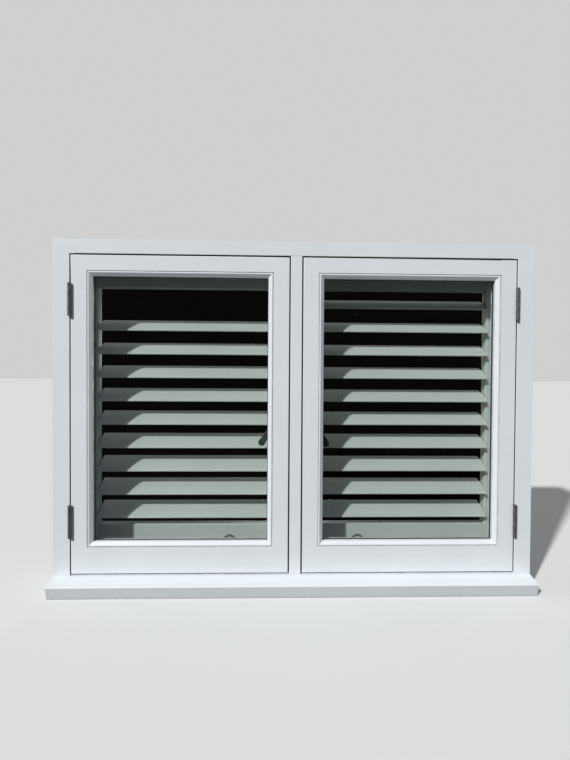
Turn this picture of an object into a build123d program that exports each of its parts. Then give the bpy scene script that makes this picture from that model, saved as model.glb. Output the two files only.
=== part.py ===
from build123d import *
import os
from math import cos, radians, sin, sqrt, tan

os.makedirs("parts", exist_ok=True)

# A painted two-light casement window with a pair of louvred shutter panels in their own frame behind it.
# Millimetres. X runs to the right seen from outside, Y into the room, Z up from the underside of the sill.
# The outside face of the window frame is the plane Y = 0. The right half is drawn, the left half is its mirror.

# Window frame
frame_width = 1151.0
frame_height = 838.6
frame_depth = 85.0
head_face = 34.7
jamb_face = 40.5
mullion_face = 27.8
stop_cover = 12.0
rebate_play = 2.0
arris = 1.5
fixing_radius = 3.5
fixing_spacing = 540.0
fixing_height = 420.0

# Sill
sill_shortfall = 1.5
sill_projection = 42.0
sill_nose = 30.2
sill_fall = 12.6
sill_upstand = 14.0
sill_nose_round = 2.5
drip_radius = 3.0
drip_setback = 11.0

# Casement sashes
sash_thickness = 45.0
sash_stile_face = 37.5
sash_top_face = 36.1
sash_bottom_face = 63.5
gap_lock = 3.0
gap_hinge = 2.0
gap_top = 3.0
gap_sill = 4.0
bead_width = 12.2
bead_depth = 16.5
bead_quirk = 1.2
bead_quirk_depth = 2.4
bead_shoulder = 5.0
bead_crown = 0.3
bead_fall = 7.5
pane_thickness = 4.0
pane_cavity = 6.0
pane_play = 2.0
spacer_width = 9.4

# Casement hinges
hinge_length = 78.0
hinge_from_top = 67.0
hinge_from_bottom = 87.0
hinge_knuckle = 4.2
hinge_pin = 2.0
hinge_leaf = 1.6
hinge_breadth = 28.0
hinge_knuckles = 3

# Running clearances, and the sides of every small pin
pin_play = 0.05
pin_sides = 8
face_play = 0.3
knuckle_play = 0.2

# Casement fasteners, an upright lever on each meeting stile
fastener_height = 370.4
fastener_reach = 77.0
fastener_slope = 57.0
fastener_hub = 8.5
fastener_pin = 3.0
fastener_plate_width = 20.0
fastener_plate_height = 64.0
fastener_plate_thickness = 2.5
fastener_boss = 3.5
fastener_blade = 6.0
fastener_neck = 5.2
fastener_tip = 3.6
fastener_knob = 5.2
nose_reach = 22.0
nose_tip = 3.0
nose_root = 6.0
nose_angle = 58.0
nose_from_stop = 15.0
strike_thickness = 1.5
strike_width = 16.0
strike_height = 40.0
strike_slot_play = 1.0
mortice_depth = 8.0

# Casement stays, an arm with peg holes on each bottom rail
stay_reach = 100.0
stay_standoff = 17.0
stay_rise = 39.2
stay_bar_width = 11.0
stay_bar_thickness = 5.0
stay_first_hole = 97.6
stay_hole_pitch = 31.6
stay_holes = 6
stay_hole_radius = 3.3
stay_pegged_holes = (2, 4)
stay_length = 271.5
stay_eye = 5.0
stay_eye_width = 6.0
stay_ear = 2.5
stay_shoulder = 9.0
stay_pin = 2.0
stay_swivel_pin = 2.5
stay_disc = 7.0
stay_disc_thickness = 2.9
stay_tongue = 4.0
stay_plate_width = 28.0
stay_plate_height = 28.0
stay_plate_thickness = 3.0
crook_radius = 15.5
crook_bar = 4.4
crook_start = -100.0
crook_angle = 268.0
peg_radius = 2.8
peg_foot = 7.0
peg_foot_thickness = 2.0
peg_play = 1.2

# Shutter frame, an L section round the room side of the window frame
surround_bottom = 28.0
surround_face = 23.5
surround_lip = 12.0
surround_lip_thickness = 8.0
surround_play = 1.5

# Shutter panels
panel_thickness = 27.0
panel_gap = 2.5
panel_meeting_gap = 3.0
panel_hinge_stile = 47.0
panel_lock_stile = 51.0
panel_bottom_rail = 78.3
panel_top_rail = 71.3
panel_rail_margin = 36.0
panel_arris = 4.0

# Louvres
louvre_count = 10
louvre_width = 64.0
louvre_thickness = 11.0
louvre_edge = 1.8
louvre_chamfer = 1.5
louvre_end_play = 2.5
louvre_pin = 3.0
louvre_pin_length = 12.0
louvre_hole_spare = 1.0
louvre_angle = {"left": 28.3, "right": 25.7}
louvre_missing = {"left": (1,), "right": ()}

# Tilt strips, which link the louvres on the room side
strip_width = 10.0
strip_thickness = 2.5
strip_throw = 33.0
strip_offset = 7.0
strip_setback = 2.5
strip_end = 9.0
strip_tab = 3.0
strip_tab_root = 7.0
strip_tab_play = 0.3
strip_eye = 3.0
strip_lug = 2.5
strip_notch_play = 0.5
strip_pin = 1.5

# Shutter hinges
panel_hinge_length = 64.0
panel_hinge_from_end = 90.0
panel_hinge_knuckle = 3.5
panel_hinge_pin = 1.75
panel_hinge_leaf = 1.0
panel_hinge_breadth = 22.0

# Window frame lines worked out from the sizes above
jamb_outer = frame_width / 2
jamb_inner = jamb_outer - jamb_face
mullion_half = mullion_face / 2
stop_front = sash_thickness + rebate_play
jamb_stop = jamb_inner - stop_cover
mullion_stop = mullion_half + stop_cover
head_under = frame_height - head_face
head_stop = head_under - stop_cover
sill_grade = tan(radians(sill_fall))
sill_top = sill_nose + sill_projection * sill_grade
sill_back = sill_top + stop_front * sill_grade
sill_stop = sill_back + sill_upstand
sill_half = jamb_outer - sill_shortfall
fixing_depth = (stop_front + frame_depth) / 2

# Sash lines
sash_lock_edge = mullion_half + gap_lock
sash_hinge_edge = jamb_inner - gap_hinge
sash_top = head_under - gap_top
sash_bottom = sill_top + gap_sill
rebate_lock = sash_lock_edge + sash_stile_face
rebate_hinge = sash_hinge_edge - sash_stile_face
rebate_top = sash_top - sash_top_face
rebate_bottom = sash_bottom + sash_bottom_face
glass_front = bead_depth
glass_back = glass_front + 2 * pane_thickness + pane_cavity
hinge_x = (jamb_inner + sash_hinge_edge) / 2
hinge_y = -(hinge_knuckle + knuckle_play)
hinge_bases = (sash_bottom + hinge_from_bottom, sash_top - hinge_from_top - hinge_length)

# Fastener and stay lines
fastener_x = mullion_stop + nose_from_stop
fastener_z = sash_bottom + fastener_height
hub_front = sash_thickness + fastener_plate_thickness + fastener_boss + face_play
blade_front = hub_front + fastener_hub - fastener_blade
blade_back = blade_front + fastener_blade
strike_y = (blade_front + blade_back) / 2
slot_top = nose_tip + strike_slot_play
slot_bottom = -(nose_reach * sin(radians(nose_angle)) + strike_slot_play)
stay_x = hinge_x - stay_reach
stay_y = sash_thickness + stay_standoff
stay_z = sash_bottom + stay_rise
disc_top = stay_z - stay_eye - face_play
disc_under = disc_top - stay_disc_thickness
tongue_top = disc_under - face_play
peg_top = stay_z - stay_bar_thickness / 2 - peg_play

# Shutter lines
surround_inner = jamb_outer - surround_face
surround_sill = surround_bottom + surround_face
surround_head = frame_height - surround_face
panel_front = frame_depth + surround_lip_thickness + surround_play
panel_back = panel_front + panel_thickness
panel_middle = (panel_front + panel_back) / 2
panel_outer = surround_inner - panel_gap
panel_inner = panel_meeting_gap / 2
opening_outer = panel_outer - panel_hinge_stile
opening_inner = panel_inner + panel_lock_stile
panel_bottom = surround_sill + panel_gap
panel_top = surround_head - panel_gap
opening_bottom = panel_bottom + panel_bottom_rail
opening_top = panel_top - panel_top_rail
louvre_pitch = (opening_top - opening_bottom - 2 * panel_rail_margin) / (louvre_count - 1)
louvre_axes = [
    opening_bottom + panel_rail_margin + (louvre_count - number) * louvre_pitch
    for number in range(1, louvre_count + 1)
]
louvre_inner = opening_inner + louvre_end_play
louvre_outer = opening_outer - louvre_end_play
strip_x = louvre_inner + strip_setback + strip_width / 2
tab_x = strip_x - strip_tab - strip_tab_play / 2
lug_x = tab_x + strip_tab + strip_tab_play
notch_floor = strip_throw - strip_lug * sqrt(2) - strip_notch_play
panel_hinge_x = (surround_inner + panel_outer) / 2
panel_hinge_y = panel_back + panel_hinge_knuckle + knuckle_play
panel_hinge_bases = (
    panel_bottom + panel_hinge_from_end,
    panel_top - panel_hinge_from_end - panel_hinge_length,
)


# Helpers: polygon sections with some corners rounded, run upright or level

def section(points, rounded=(), radius=0.0):
    face = make_face(Polyline(*points, close=True))
    corners = [v for v in face.vertices() if any((Vector(v) - Vector(*p)).length < 1e-3 for p in rounded)]
    return fillet(corners, radius) if corners else face


def rectangle(low, high):
    return [low, (high[0], low[1]), high, (low[0], high[1])]


def upright(points, bottom, top, rounded=(), radius=0.0):
    return Pos(0, 0, bottom) * extrude(section(points, rounded, radius), amount=top - bottom)


def level(points, left, right, rounded=(), radius=0.0):
    return Pos(left, 0, 0) * extrude(Plane.YZ * section(points, rounded, radius), amount=right - left)


def rod(radius, start, end):
    axis = Vector(*end) - Vector(*start)
    return extrude(Plane(origin=start, z_dir=axis) * Circle(radius), amount=axis.length)


def facetted(size, start, end):
    # A small pin with flats, its corners at the given size from its middle.
    axis = Vector(*end) - Vector(*start)
    return extrude(Plane(origin=start, z_dir=axis) * RegularPolygon(size, pin_sides), amount=axis.length)


def bore(size, start, end):
    # The hole for such a pin, its flats at the pin's corners plus the running clearance.
    axis = Vector(*end) - Vector(*start)
    outline = RegularPolygon(size + pin_play, pin_sides, major_radius=False)
    return extrude(Plane(origin=start, z_dir=axis) * outline, amount=axis.length)


def mitred(profile, breadth, length):
    # A length of moulding up Z, its outer edge at X = 0, both ends cut at 45 degrees.
    ends = [(0, 0), (breadth, breadth), (breadth, length - breadth), (0, length)]
    reach = 2 * frame_depth
    cutter = Pos(0, reach, 0) * extrude(Plane.XZ * section(ends), amount=2 * reach)
    return extrude(profile, amount=length) & cutter


def laid_down(upright_piece):
    # Swaps X and Z, which turns an upright moulding into a level one with its outer edge at the bottom.
    return mirror(upright_piece, about=Plane(origin=(0, 0, 0), z_dir=(1, 0, -1)))


def mitred_frame(profile, breadth, left, right, bottom, top):
    side = mitred(profile, breadth, top - bottom)
    rail = laid_down(mitred(profile, breadth, right - left))
    near = Pos(left, 0, bottom) * side
    far = Pos(right, 0, bottom) * mirror(side, about=Plane.YZ)
    lower = Pos(left, 0, bottom) * rail
    upper = Pos(left, 0, top) * mirror(rail, about=Plane.XY)
    return near, far, lower, upper


# Butt hinge: pin up Z at the origin, leaves running back along Y, the fixed leaf on the +X side

def leaf_plate(gap, thickness, breadth, length, standoff):
    return upright(rectangle((gap / 2, standoff), (gap / 2 + thickness, standoff + breadth)), 0, length)


def hinge_half(gap, thickness, breadth, length, knuckle, pin, fixed):
    standoff = knuckle + knuckle_play
    plate = leaf_plate(gap, thickness, breadth, length, standoff)
    share = length / hinge_knuckles
    for step in range(0 if fixed else 1, hinge_knuckles, 2):
        low = step * share + (face_play / 2 if step else 0)
        high = (step + 1) * share - (face_play / 2 if step < hinge_knuckles - 1 else 0)
        plate += upright(rectangle((gap / 2, 0), (gap / 2 + thickness, standoff)), low, high)
        plate += Pos(0, 0, low) * extrude(Circle(knuckle), amount=high - low)
    if fixed:
        return plate + facetted(pin, (0, 0, 0), (0, 0, length))
    return mirror(plate, about=Plane.YZ) - bore(pin, (0, 0, 0), (0, 0, length))


def casement_hinge(base, fixed):
    half = hinge_half(
        gap_hinge, hinge_leaf, hinge_breadth, hinge_length, hinge_knuckle, hinge_pin, fixed
    )
    return Pos(hinge_x, hinge_y, base) * half


def casement_leaf_recess(base):
    plate = leaf_plate(gap_hinge, hinge_leaf, hinge_breadth, hinge_length, hinge_knuckle + knuckle_play)
    return Pos(hinge_x, hinge_y, base) * (plate + mirror(plate, about=Plane.YZ))


def panel_hinge(base, fixed):
    half = hinge_half(
        panel_gap, panel_hinge_leaf, panel_hinge_breadth, panel_hinge_length,
        panel_hinge_knuckle, panel_hinge_pin, fixed,
    )
    return Pos(panel_hinge_x, panel_hinge_y, base) * mirror(half, about=Plane.XZ)


def panel_leaf_recess(base):
    plate = leaf_plate(
        panel_gap, panel_hinge_leaf, panel_hinge_breadth, panel_hinge_length,
        panel_hinge_knuckle + knuckle_play,
    )
    both = plate + mirror(plate, about=Plane.YZ)
    return Pos(panel_hinge_x, panel_hinge_y, base) * mirror(both, about=Plane.XZ)


# Window frame

def sill_outline():
    return [
        (-sill_projection, 0),
        (-sill_projection, sill_nose),
        (0, sill_top),
        (stop_front, sill_back),
        (stop_front, sill_stop),
        (frame_depth, sill_stop),
        (frame_depth, 0),
    ]


def frame_sill():
    nose = (-sill_projection, sill_nose)
    body = level(sill_outline(), -sill_half, sill_half, [nose], sill_nose_round)
    drip_y = drip_setback - sill_projection
    return body - rod(drip_radius, (-sill_half, drip_y, 0), (sill_half, drip_y, 0))


def seated_on_sill(member):
    return member - level(sill_outline(), -frame_width, frame_width)


def frame_head():
    body = level(
        rectangle((0, head_under), (frame_depth, frame_height)),
        -jamb_outer, jamb_outer, [(0, head_under)], arris,
    )
    stop = level(rectangle((stop_front, head_stop), (frame_depth, head_under)), -jamb_stop, jamb_stop)
    return body + stop


def frame_jamb():
    outline = [
        (jamb_outer, 0),
        (jamb_inner, 0),
        (jamb_inner, stop_front),
        (jamb_stop, stop_front),
        (jamb_stop, frame_depth),
        (jamb_outer, frame_depth),
    ]
    body = seated_on_sill(upright(outline, 0, head_under, [(jamb_inner, 0)], arris))
    for base in hinge_bases:
        body -= casement_leaf_recess(base)
    for side in (-1, 1):
        height = fixing_height + side * fixing_spacing / 2
        body -= rod(fixing_radius, (jamb_stop, fixing_depth, height), (jamb_outer, fixing_depth, height))
    return body


def strike_plate():
    outline = rectangle(
        (strike_y - strike_width / 2, fastener_z + (slot_top + slot_bottom - strike_height) / 2),
        (strike_y + strike_width / 2, fastener_z + (slot_top + slot_bottom + strike_height) / 2),
    )
    return level(outline, mullion_stop - strike_thickness, mullion_stop)


def strike_mortice():
    outline = rectangle(
        (blade_front - strike_slot_play, fastener_z + slot_bottom),
        (blade_back + strike_slot_play, fastener_z + slot_top),
    )
    return level(outline, mullion_stop - mortice_depth, mullion_stop)


def frame_mullion():
    front = [(-mullion_half, 0), (mullion_half, 0), (mullion_half, stop_front), (-mullion_half, stop_front)]
    body = upright(front, 0, head_under, front[:2], arris)
    body += upright(rectangle((-mullion_stop, stop_front), (mullion_stop, frame_depth)), 0, head_stop)
    body = seated_on_sill(body)
    pocket = strike_plate() + strike_mortice()
    return body - pocket - mirror(pocket, about=Plane.YZ)


def stay_peg(hole):
    x = stay_x - stay_first_hole - hole * stay_hole_pitch
    outline = rectangle((x - peg_foot, stay_y - peg_foot), (x + peg_foot, stay_y + peg_foot))
    foot = upright(outline, sill_stop, sill_stop + peg_foot_thickness)
    return foot + rod(peg_radius, (x, stay_y, sill_stop), (x, stay_y, peg_top))


def frame_ironmongery():
    pieces = [casement_hinge(base, True) for base in hinge_bases]
    pieces += [stay_peg(hole) for hole in stay_pegged_holes]
    pieces += [strike_plate() - strike_mortice()]
    return pieces


# Casement sashes

def sash_envelope():
    drop = sash_thickness * sill_grade
    outline = [(0, sash_bottom), (0, sash_top), (sash_thickness, sash_top), (sash_thickness, sash_bottom + drop)]
    body = level(outline, sash_lock_edge, sash_hinge_edge)
    return fillet(body.faces().sort_by(Axis.Y)[0].edges(), arris)


def sash_stile(edge, rebate, sight):
    outline = [
        (edge, 0),
        (rebate, 0),
        (rebate, glass_back),
        (sight, glass_back),
        (sight, sash_thickness),
        (edge, sash_thickness),
    ]
    return upright(outline, sash_bottom, sash_top) & sash_envelope()


def sash_lock_stile():
    return sash_stile(sash_lock_edge, rebate_lock, rebate_lock + bead_width)


def sash_hinge_stile():
    body = sash_stile(sash_hinge_edge, rebate_hinge, rebate_hinge - bead_width)
    for base in hinge_bases:
        body -= casement_leaf_recess(base)
    return body


def sash_rail(edge, rebate, sight):
    front = level(rectangle((0, min(edge, rebate)), (glass_back, max(edge, rebate))), rebate_lock, rebate_hinge)
    back = level(
        rectangle((glass_back, min(edge, sight)), (sash_thickness, max(edge, sight))),
        rebate_lock + bead_width, rebate_hinge - bead_width,
    )
    return (front + back) & sash_envelope()


def sash_top_rail():
    return sash_rail(sash_top, rebate_top, rebate_top - bead_width)


def sash_bottom_rail():
    return sash_rail(sash_bottom, rebate_bottom, rebate_bottom + bead_width)


def sash_beads():
    quirk_floor = (bead_quirk, bead_quirk_depth)
    shoulder = (bead_shoulder, bead_crown)
    brow = (bead_width, bead_fall)
    outline = [
        Line((0, bead_depth), (0, bead_quirk_depth)),
        Line((0, bead_quirk_depth), quirk_floor),
        TangentArc(shoulder, quirk_floor, tangent=(-1, 0)),
        TangentArc(shoulder, brow, tangent=(1, 0)),
        Line(brow, (bead_width, bead_depth)),
        Line((bead_width, bead_depth), (0, bead_depth)),
    ]
    profile = make_face(Curve() + outline)
    return mitred_frame(profile, bead_width, rebate_lock, rebate_hinge, rebate_bottom, rebate_top)


def glass_outline(inset, front, back):
    low = (rebate_lock + inset, rebate_bottom + inset)
    high = (rebate_hinge - inset, rebate_top - inset)
    return Pos(0, back, 0) * extrude(Plane.XZ * section(rectangle(low, high)), amount=back - front)


def sash_panes():
    outer = glass_outline(pane_play, glass_front, glass_front + pane_thickness)
    inner = glass_outline(pane_play, glass_back - pane_thickness, glass_back)
    return outer, inner


def sash_spacer():
    front = glass_front + pane_thickness
    back = glass_back - pane_thickness
    return glass_outline(pane_play, front, back) - glass_outline(pane_play + spacer_width, front, back)


# Casement fastener

def fastener_plate():
    depth = fastener_plate_thickness
    plate = extrude(
        Plane(origin=(fastener_x, sash_thickness, fastener_z), x_dir=(0, 0, 1), z_dir=(0, 1, 0))
        * SlotOverall(fastener_plate_height, fastener_plate_width),
        amount=depth,
    )
    start = sash_thickness + depth
    boss = rod(fastener_hub, (fastener_x, start, fastener_z), (fastener_x, start + fastener_boss, fastener_z))
    pin = facetted(fastener_pin, (fastener_x, start, fastener_z), (fastener_x, blade_back, fastener_z))
    return plate + boss + pin


def tapered_blade(root, tip, reach, angle, knob=0.0):
    # A flat tapered arm in the XZ plane from the fastener's pivot, at an angle from +X, with a knob if it has one.
    end = (reach * cos(radians(angle)), reach * sin(radians(angle)))
    outline = make_hull([Circle(root).edge(), (Pos(*end) * Circle(tip)).edge()])
    if knob:
        outline += Pos(*end) * Circle(knob)
    return Pos(fastener_x, blade_back, fastener_z) * extrude(Plane.XZ * outline, amount=fastener_blade)


def fastener_lever():
    start = (fastener_x, hub_front, fastener_z)
    end = (fastener_x, blade_back, fastener_z)
    lever = rod(fastener_hub, start, end)
    grip = fastener_reach - fastener_knob
    lever += tapered_blade(fastener_neck, fastener_tip, grip, -fastener_slope, fastener_knob)
    lever += tapered_blade(nose_root, nose_tip, nose_reach - nose_tip, 180 + nose_angle)
    return lever - bore(fastener_pin, start, end)


# Casement stay

def stay_bracket():
    plate_bottom = tongue_top - stay_tongue
    plate = level(
        rectangle(
            (sash_thickness, plate_bottom),
            (sash_thickness + stay_plate_thickness, plate_bottom + stay_plate_height),
        ),
        stay_x - stay_plate_width / 2, stay_x + stay_plate_width / 2,
    )
    root = rectangle((stay_x - stay_disc, sash_thickness), (stay_x + stay_disc, stay_y))
    tongue = upright(root, plate_bottom, tongue_top)
    tongue += rod(stay_disc, (stay_x, stay_y, plate_bottom), (stay_x, stay_y, tongue_top))
    return plate + tongue - bore(stay_swivel_pin, (stay_x, stay_y, plate_bottom), (stay_x, stay_y, tongue_top))


def stay_swivel():
    swivel = rod(stay_disc, (stay_x, stay_y, disc_under), (stay_x, stay_y, disc_top))
    foot = (stay_x, stay_y, tongue_top - stay_tongue)
    swivel += facetted(stay_swivel_pin, foot, (stay_x, stay_y, disc_under))
    inner = stay_eye_width / 2 + face_play
    outer = inner + stay_ear
    ear = Pos(0, outer, 0) * extrude(
        Plane.XZ * (Circle(stay_eye) + section(rectangle((-stay_eye, disc_top - stay_z), (stay_eye, 0)))),
        amount=stay_ear,
    )
    for piece in (ear, mirror(ear, about=Plane.XZ)):
        swivel += Pos(stay_x, stay_y, stay_z) * piece
    return swivel + facetted(stay_pin, (stay_x, stay_y - outer, stay_z), (stay_x, stay_y + outer, stay_z))


def stay_arm():
    # Drawn with its eye at the origin and its length along X, then turned to run towards the meeting stile.
    half = stay_bar_width / 2
    narrow = stay_bar_thickness / 2
    near = stay_shoulder + half
    far = stay_length - 2 * half
    eye = Pos(0, stay_eye_width / 2, 0) * extrude(Plane.XZ * Circle(stay_eye), amount=stay_eye_width)
    eye += level(rectangle((-stay_eye_width / 2, -narrow), (stay_eye_width / 2, narrow)), 0, near)
    bar = make_hull([(Pos(near, 0) * Circle(half)).edge(), (Pos(far, 0) * Circle(half)).edge()])
    taper = section([(far, -half), (stay_length, -narrow), (stay_length, narrow), (far, half)])
    taper += Pos(stay_length, 0) * Circle(narrow)
    for step in range(stay_holes):
        bar -= Pos(stay_first_hole + step * stay_hole_pitch, 0) * RegularPolygon(stay_hole_radius, pin_sides)
    arm = eye + Pos(0, 0, -narrow) * extrude(bar + taper, amount=stay_bar_thickness)
    arm -= bore(stay_pin, (0, -stay_eye_width / 2, 0), (0, stay_eye_width / 2, 0))
    outer = CenterArc((0, 0), crook_radius + crook_bar / 2, crook_start, crook_angle)
    inner = CenterArc((0, 0), crook_radius - crook_bar / 2, crook_start, crook_angle)
    curl = make_face(Curve() + [outer, Line(outer @ 1, inner @ 1), inner, Line(inner @ 0, outer @ 0)])
    arm += Pos(stay_length, 0, crook_radius) * extrude(Plane.XZ * curl, amount=crook_bar / 2, both=True)
    return Pos(stay_x, stay_y, stay_z) * Rot(0, 0, 180) * arm


def sash_fittings():
    leaves = [casement_hinge(base, False) for base in hinge_bases]
    return leaves + [fastener_plate(), stay_bracket()]


# Shutter frame

def surround_pieces():
    outline = [
        (0, frame_depth),
        (surround_face + surround_lip, frame_depth),
        (surround_face + surround_lip, frame_depth + surround_lip_thickness),
        (surround_face, frame_depth + surround_lip_thickness),
        (surround_face, panel_back),
        (0, panel_back),
    ]
    profile = section(outline)
    breadth = surround_face + surround_lip
    left, right, lower, upper = mitred_frame(
        profile, breadth, -jamb_outer, jamb_outer, surround_bottom, frame_height
    )
    for base in panel_hinge_bases:
        recess = panel_leaf_recess(base)
        right -= recess
        left -= mirror(recess, about=Plane.YZ)
    return (left, right), (lower, upper)


# Shutter panels

def panel_stile(outer, inner, hole):
    arrises = [(inner, panel_front), (inner, panel_back)]
    low, high = min(outer, inner), max(outer, inner)
    outline = rectangle((low, panel_front), (high, panel_back))
    body = upright(outline, panel_bottom, panel_top, arrises, panel_arris)
    depth = louvre_pin_length + louvre_hole_spare
    towards = 1 if outer > inner else -1
    for height in louvre_axes:
        start = (inner, panel_middle, height)
        end = (inner + towards * depth, panel_middle, height)
        body -= hole(start, end)
    return body


def round_hole(start, end):
    return rod(louvre_pin + pin_play, start, end)


def flatted_hole(start, end):
    return bore(louvre_pin, start, end)


def panel_hinge_stile_piece():
    body = panel_stile(panel_outer, opening_outer, flatted_hole)
    for base in panel_hinge_bases:
        body -= panel_leaf_recess(base)
    return body


def panel_lock_stile_piece():
    return panel_stile(panel_inner, opening_inner, round_hole)


def panel_rails():
    lower = level(
        rectangle((panel_front, panel_bottom), (panel_back, opening_bottom)),
        opening_inner, opening_outer,
        [(panel_front, opening_bottom), (panel_back, opening_bottom)], arris,
    )
    upper = level(
        rectangle((panel_front, opening_top), (panel_back, panel_top)),
        opening_inner, opening_outer,
        [(panel_front, opening_top), (panel_back, opening_top)], arris,
    )
    return lower, upper


def louvre_section():
    # Two broad arcs that meet a narrow flat at each edge, its corners eased.
    edge, shoulder = louvre_width / 2, louvre_width / 2 - louvre_chamfer
    rise = louvre_thickness / 2
    outline = [
        ThreePointArc((-shoulder, louvre_edge), (0, rise), (shoulder, louvre_edge)),
        Polyline(
            (shoulder, louvre_edge), (edge, louvre_edge / 2), (edge, -louvre_edge / 2), (shoulder, -louvre_edge)
        ),
        ThreePointArc((shoulder, -louvre_edge), (0, -rise), (-shoulder, -louvre_edge)),
        Polyline(
            (-shoulder, -louvre_edge), (-edge, -louvre_edge / 2), (-edge, louvre_edge / 2), (-shoulder, louvre_edge)
        ),
    ]
    return make_face(Curve() + outline)


def louvre(angle, height):
    # Drawn level about the origin, then tilted and lifted to its place in the panel.
    section_plane = Plane(origin=(louvre_inner, 0, 0), x_dir=(0, 1, 0), z_dir=(1, 0, 0))
    blade = extrude(section_plane * louvre_section(), amount=louvre_outer - louvre_inner)
    tab_back = tab_x + strip_tab
    lug_back = lug_x + strip_tab
    notch = rectangle((notch_floor, -louvre_thickness), (louvre_width, louvre_thickness))
    blade -= level(notch, tab_back, lug_back + strip_tab_play)
    reach = louvre_end_play + louvre_pin_length
    blade += facetted(louvre_pin, (louvre_inner - reach, 0, 0), (louvre_outer + reach, 0, 0))
    tab = level(rectangle((strip_throw - strip_tab_root, -strip_eye), (strip_throw, strip_eye)), tab_x, tab_back)
    tab += rod(strip_eye, (tab_x, strip_throw, 0), (tab_back, strip_throw, 0))
    tab += facetted(strip_pin, (tab_x, strip_throw, 0), (lug_back, strip_throw, 0))
    return Pos(0, panel_middle, height) * Rot(angle, 0, 0) * (blade + tab)


def tilt_strip(angle):
    pin_y = panel_middle + strip_throw * cos(radians(angle))
    lift = strip_throw * sin(radians(angle))
    plate_y = pin_y + strip_offset - strip_thickness / 2
    low = louvre_axes[-1] + lift - strip_end
    high = louvre_axes[0] + lift + strip_end
    left, right = strip_x - strip_width / 2, strip_x + strip_width / 2
    plate = upright(rectangle((left, plate_y), (right, plate_y + strip_thickness)), low, high)
    for height in louvre_axes:
        z = height + lift
        outline = rectangle((pin_y - strip_lug, z - strip_lug), (plate_y, z + strip_lug))
        plate += level(outline, lug_x, lug_x + strip_tab)
        plate -= bore(strip_pin, (lug_x, pin_y, z), (lug_x + strip_tab, pin_y, z))
    return plate


# Writing the pieces out

def group(pieces):
    solids = [solid for piece in pieces for solid in piece.solids()]
    return solids[0] if len(solids) == 1 else Compound(children=solids)


def write(name, *pieces):
    export_step(group(pieces), f"parts/{name}.step")


def sided(side, pieces):
    return [piece if side == "right" else mirror(piece, about=Plane.YZ) for piece in pieces]


write("frame_sill", frame_sill())
write("frame_head", frame_head())
write("frame_mullion", frame_mullion())
surround_sides, surround_rails = surround_pieces()
write("shutter_frame_sides", *surround_sides)
write("shutter_frame_rails", *surround_rails)
ironmongery = frame_ironmongery()
write("frame_ironmongery", *ironmongery, *sided("left", ironmongery))
panel_leaves = [panel_hinge(base, True) for base in panel_hinge_bases]
write("shutter_frame_hinge_leaves", *panel_leaves, *sided("left", panel_leaves))

for side in ("left", "right"):
    write(f"frame_jamb_{side}", *sided(side, [frame_jamb()]))
    write(f"{side}_sash_hinge_stile", *sided(side, [sash_hinge_stile()]))
    write(f"{side}_sash_lock_stile", *sided(side, [sash_lock_stile()]))
    write(f"{side}_sash_top_rail", *sided(side, [sash_top_rail()]))
    write(f"{side}_sash_bottom_rail", *sided(side, [sash_bottom_rail()]))
    write(f"{side}_glazing_beads", *sided(side, sash_beads()))
    write(f"{side}_glass_panes", *sided(side, sash_panes()))
    write(f"{side}_glass_spacer", *sided(side, [sash_spacer()]))
    write(f"{side}_sash_fittings", *sided(side, sash_fittings()))
    write(f"{side}_fastener_lever", *sided(side, [fastener_lever()]))
    write(f"{side}_stay_swivel", *sided(side, [stay_swivel()]))
    write(f"{side}_stay_arm", *sided(side, [stay_arm()]))
    write(f"{side}_shutter_hinge_stile", *sided(side, [panel_hinge_stile_piece()]))
    write(f"{side}_shutter_lock_stile", *sided(side, [panel_lock_stile_piece()]))
    write(f"{side}_shutter_rails", *sided(side, panel_rails()))
    moving_leaves = [panel_hinge(base, False) for base in panel_hinge_bases]
    write(f"{side}_shutter_hinge_leaves", *sided(side, moving_leaves))
    write(f"{side}_tilt_strip", *sided(side, [tilt_strip(louvre_angle[side])]))
    for number, height in enumerate(louvre_axes, start=1):
        if number not in louvre_missing[side]:
            write(f"{side}_louvre_{number}", *sided(side, [louvre(louvre_angle[side], height)]))
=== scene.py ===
import math
import bmesh
import bpy
from mathutils import Matrix, Vector


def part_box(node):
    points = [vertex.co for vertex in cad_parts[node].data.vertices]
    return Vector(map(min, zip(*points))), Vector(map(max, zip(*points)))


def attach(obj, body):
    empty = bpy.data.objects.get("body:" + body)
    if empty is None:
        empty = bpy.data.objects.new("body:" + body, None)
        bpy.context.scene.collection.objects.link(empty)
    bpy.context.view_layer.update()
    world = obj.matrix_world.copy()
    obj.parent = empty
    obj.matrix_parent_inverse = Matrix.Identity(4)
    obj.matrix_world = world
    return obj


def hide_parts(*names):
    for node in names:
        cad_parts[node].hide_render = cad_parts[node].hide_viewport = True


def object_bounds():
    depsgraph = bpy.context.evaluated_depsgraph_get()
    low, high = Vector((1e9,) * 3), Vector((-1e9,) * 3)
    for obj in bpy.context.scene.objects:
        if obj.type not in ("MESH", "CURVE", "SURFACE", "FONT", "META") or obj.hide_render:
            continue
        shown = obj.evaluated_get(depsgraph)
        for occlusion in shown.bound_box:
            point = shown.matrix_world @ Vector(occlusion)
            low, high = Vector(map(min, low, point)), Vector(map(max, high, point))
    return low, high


# White casement window with louvred shutter panels behind the glass. Metres; X right, Y to the back, Z up.

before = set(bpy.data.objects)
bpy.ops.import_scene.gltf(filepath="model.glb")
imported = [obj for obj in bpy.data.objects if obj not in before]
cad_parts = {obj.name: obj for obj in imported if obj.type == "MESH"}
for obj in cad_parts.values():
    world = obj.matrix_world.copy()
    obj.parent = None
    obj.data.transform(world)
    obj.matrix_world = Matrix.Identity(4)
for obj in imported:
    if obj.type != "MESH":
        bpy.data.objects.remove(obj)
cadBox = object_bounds()
scene = bpy.context.scene
scene.view_settings.view_transform = "Standard"
sides = {"left": -1, "right": 1}
print("frame loaded:", len(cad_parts), "nodes")


# Node helpers

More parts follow.
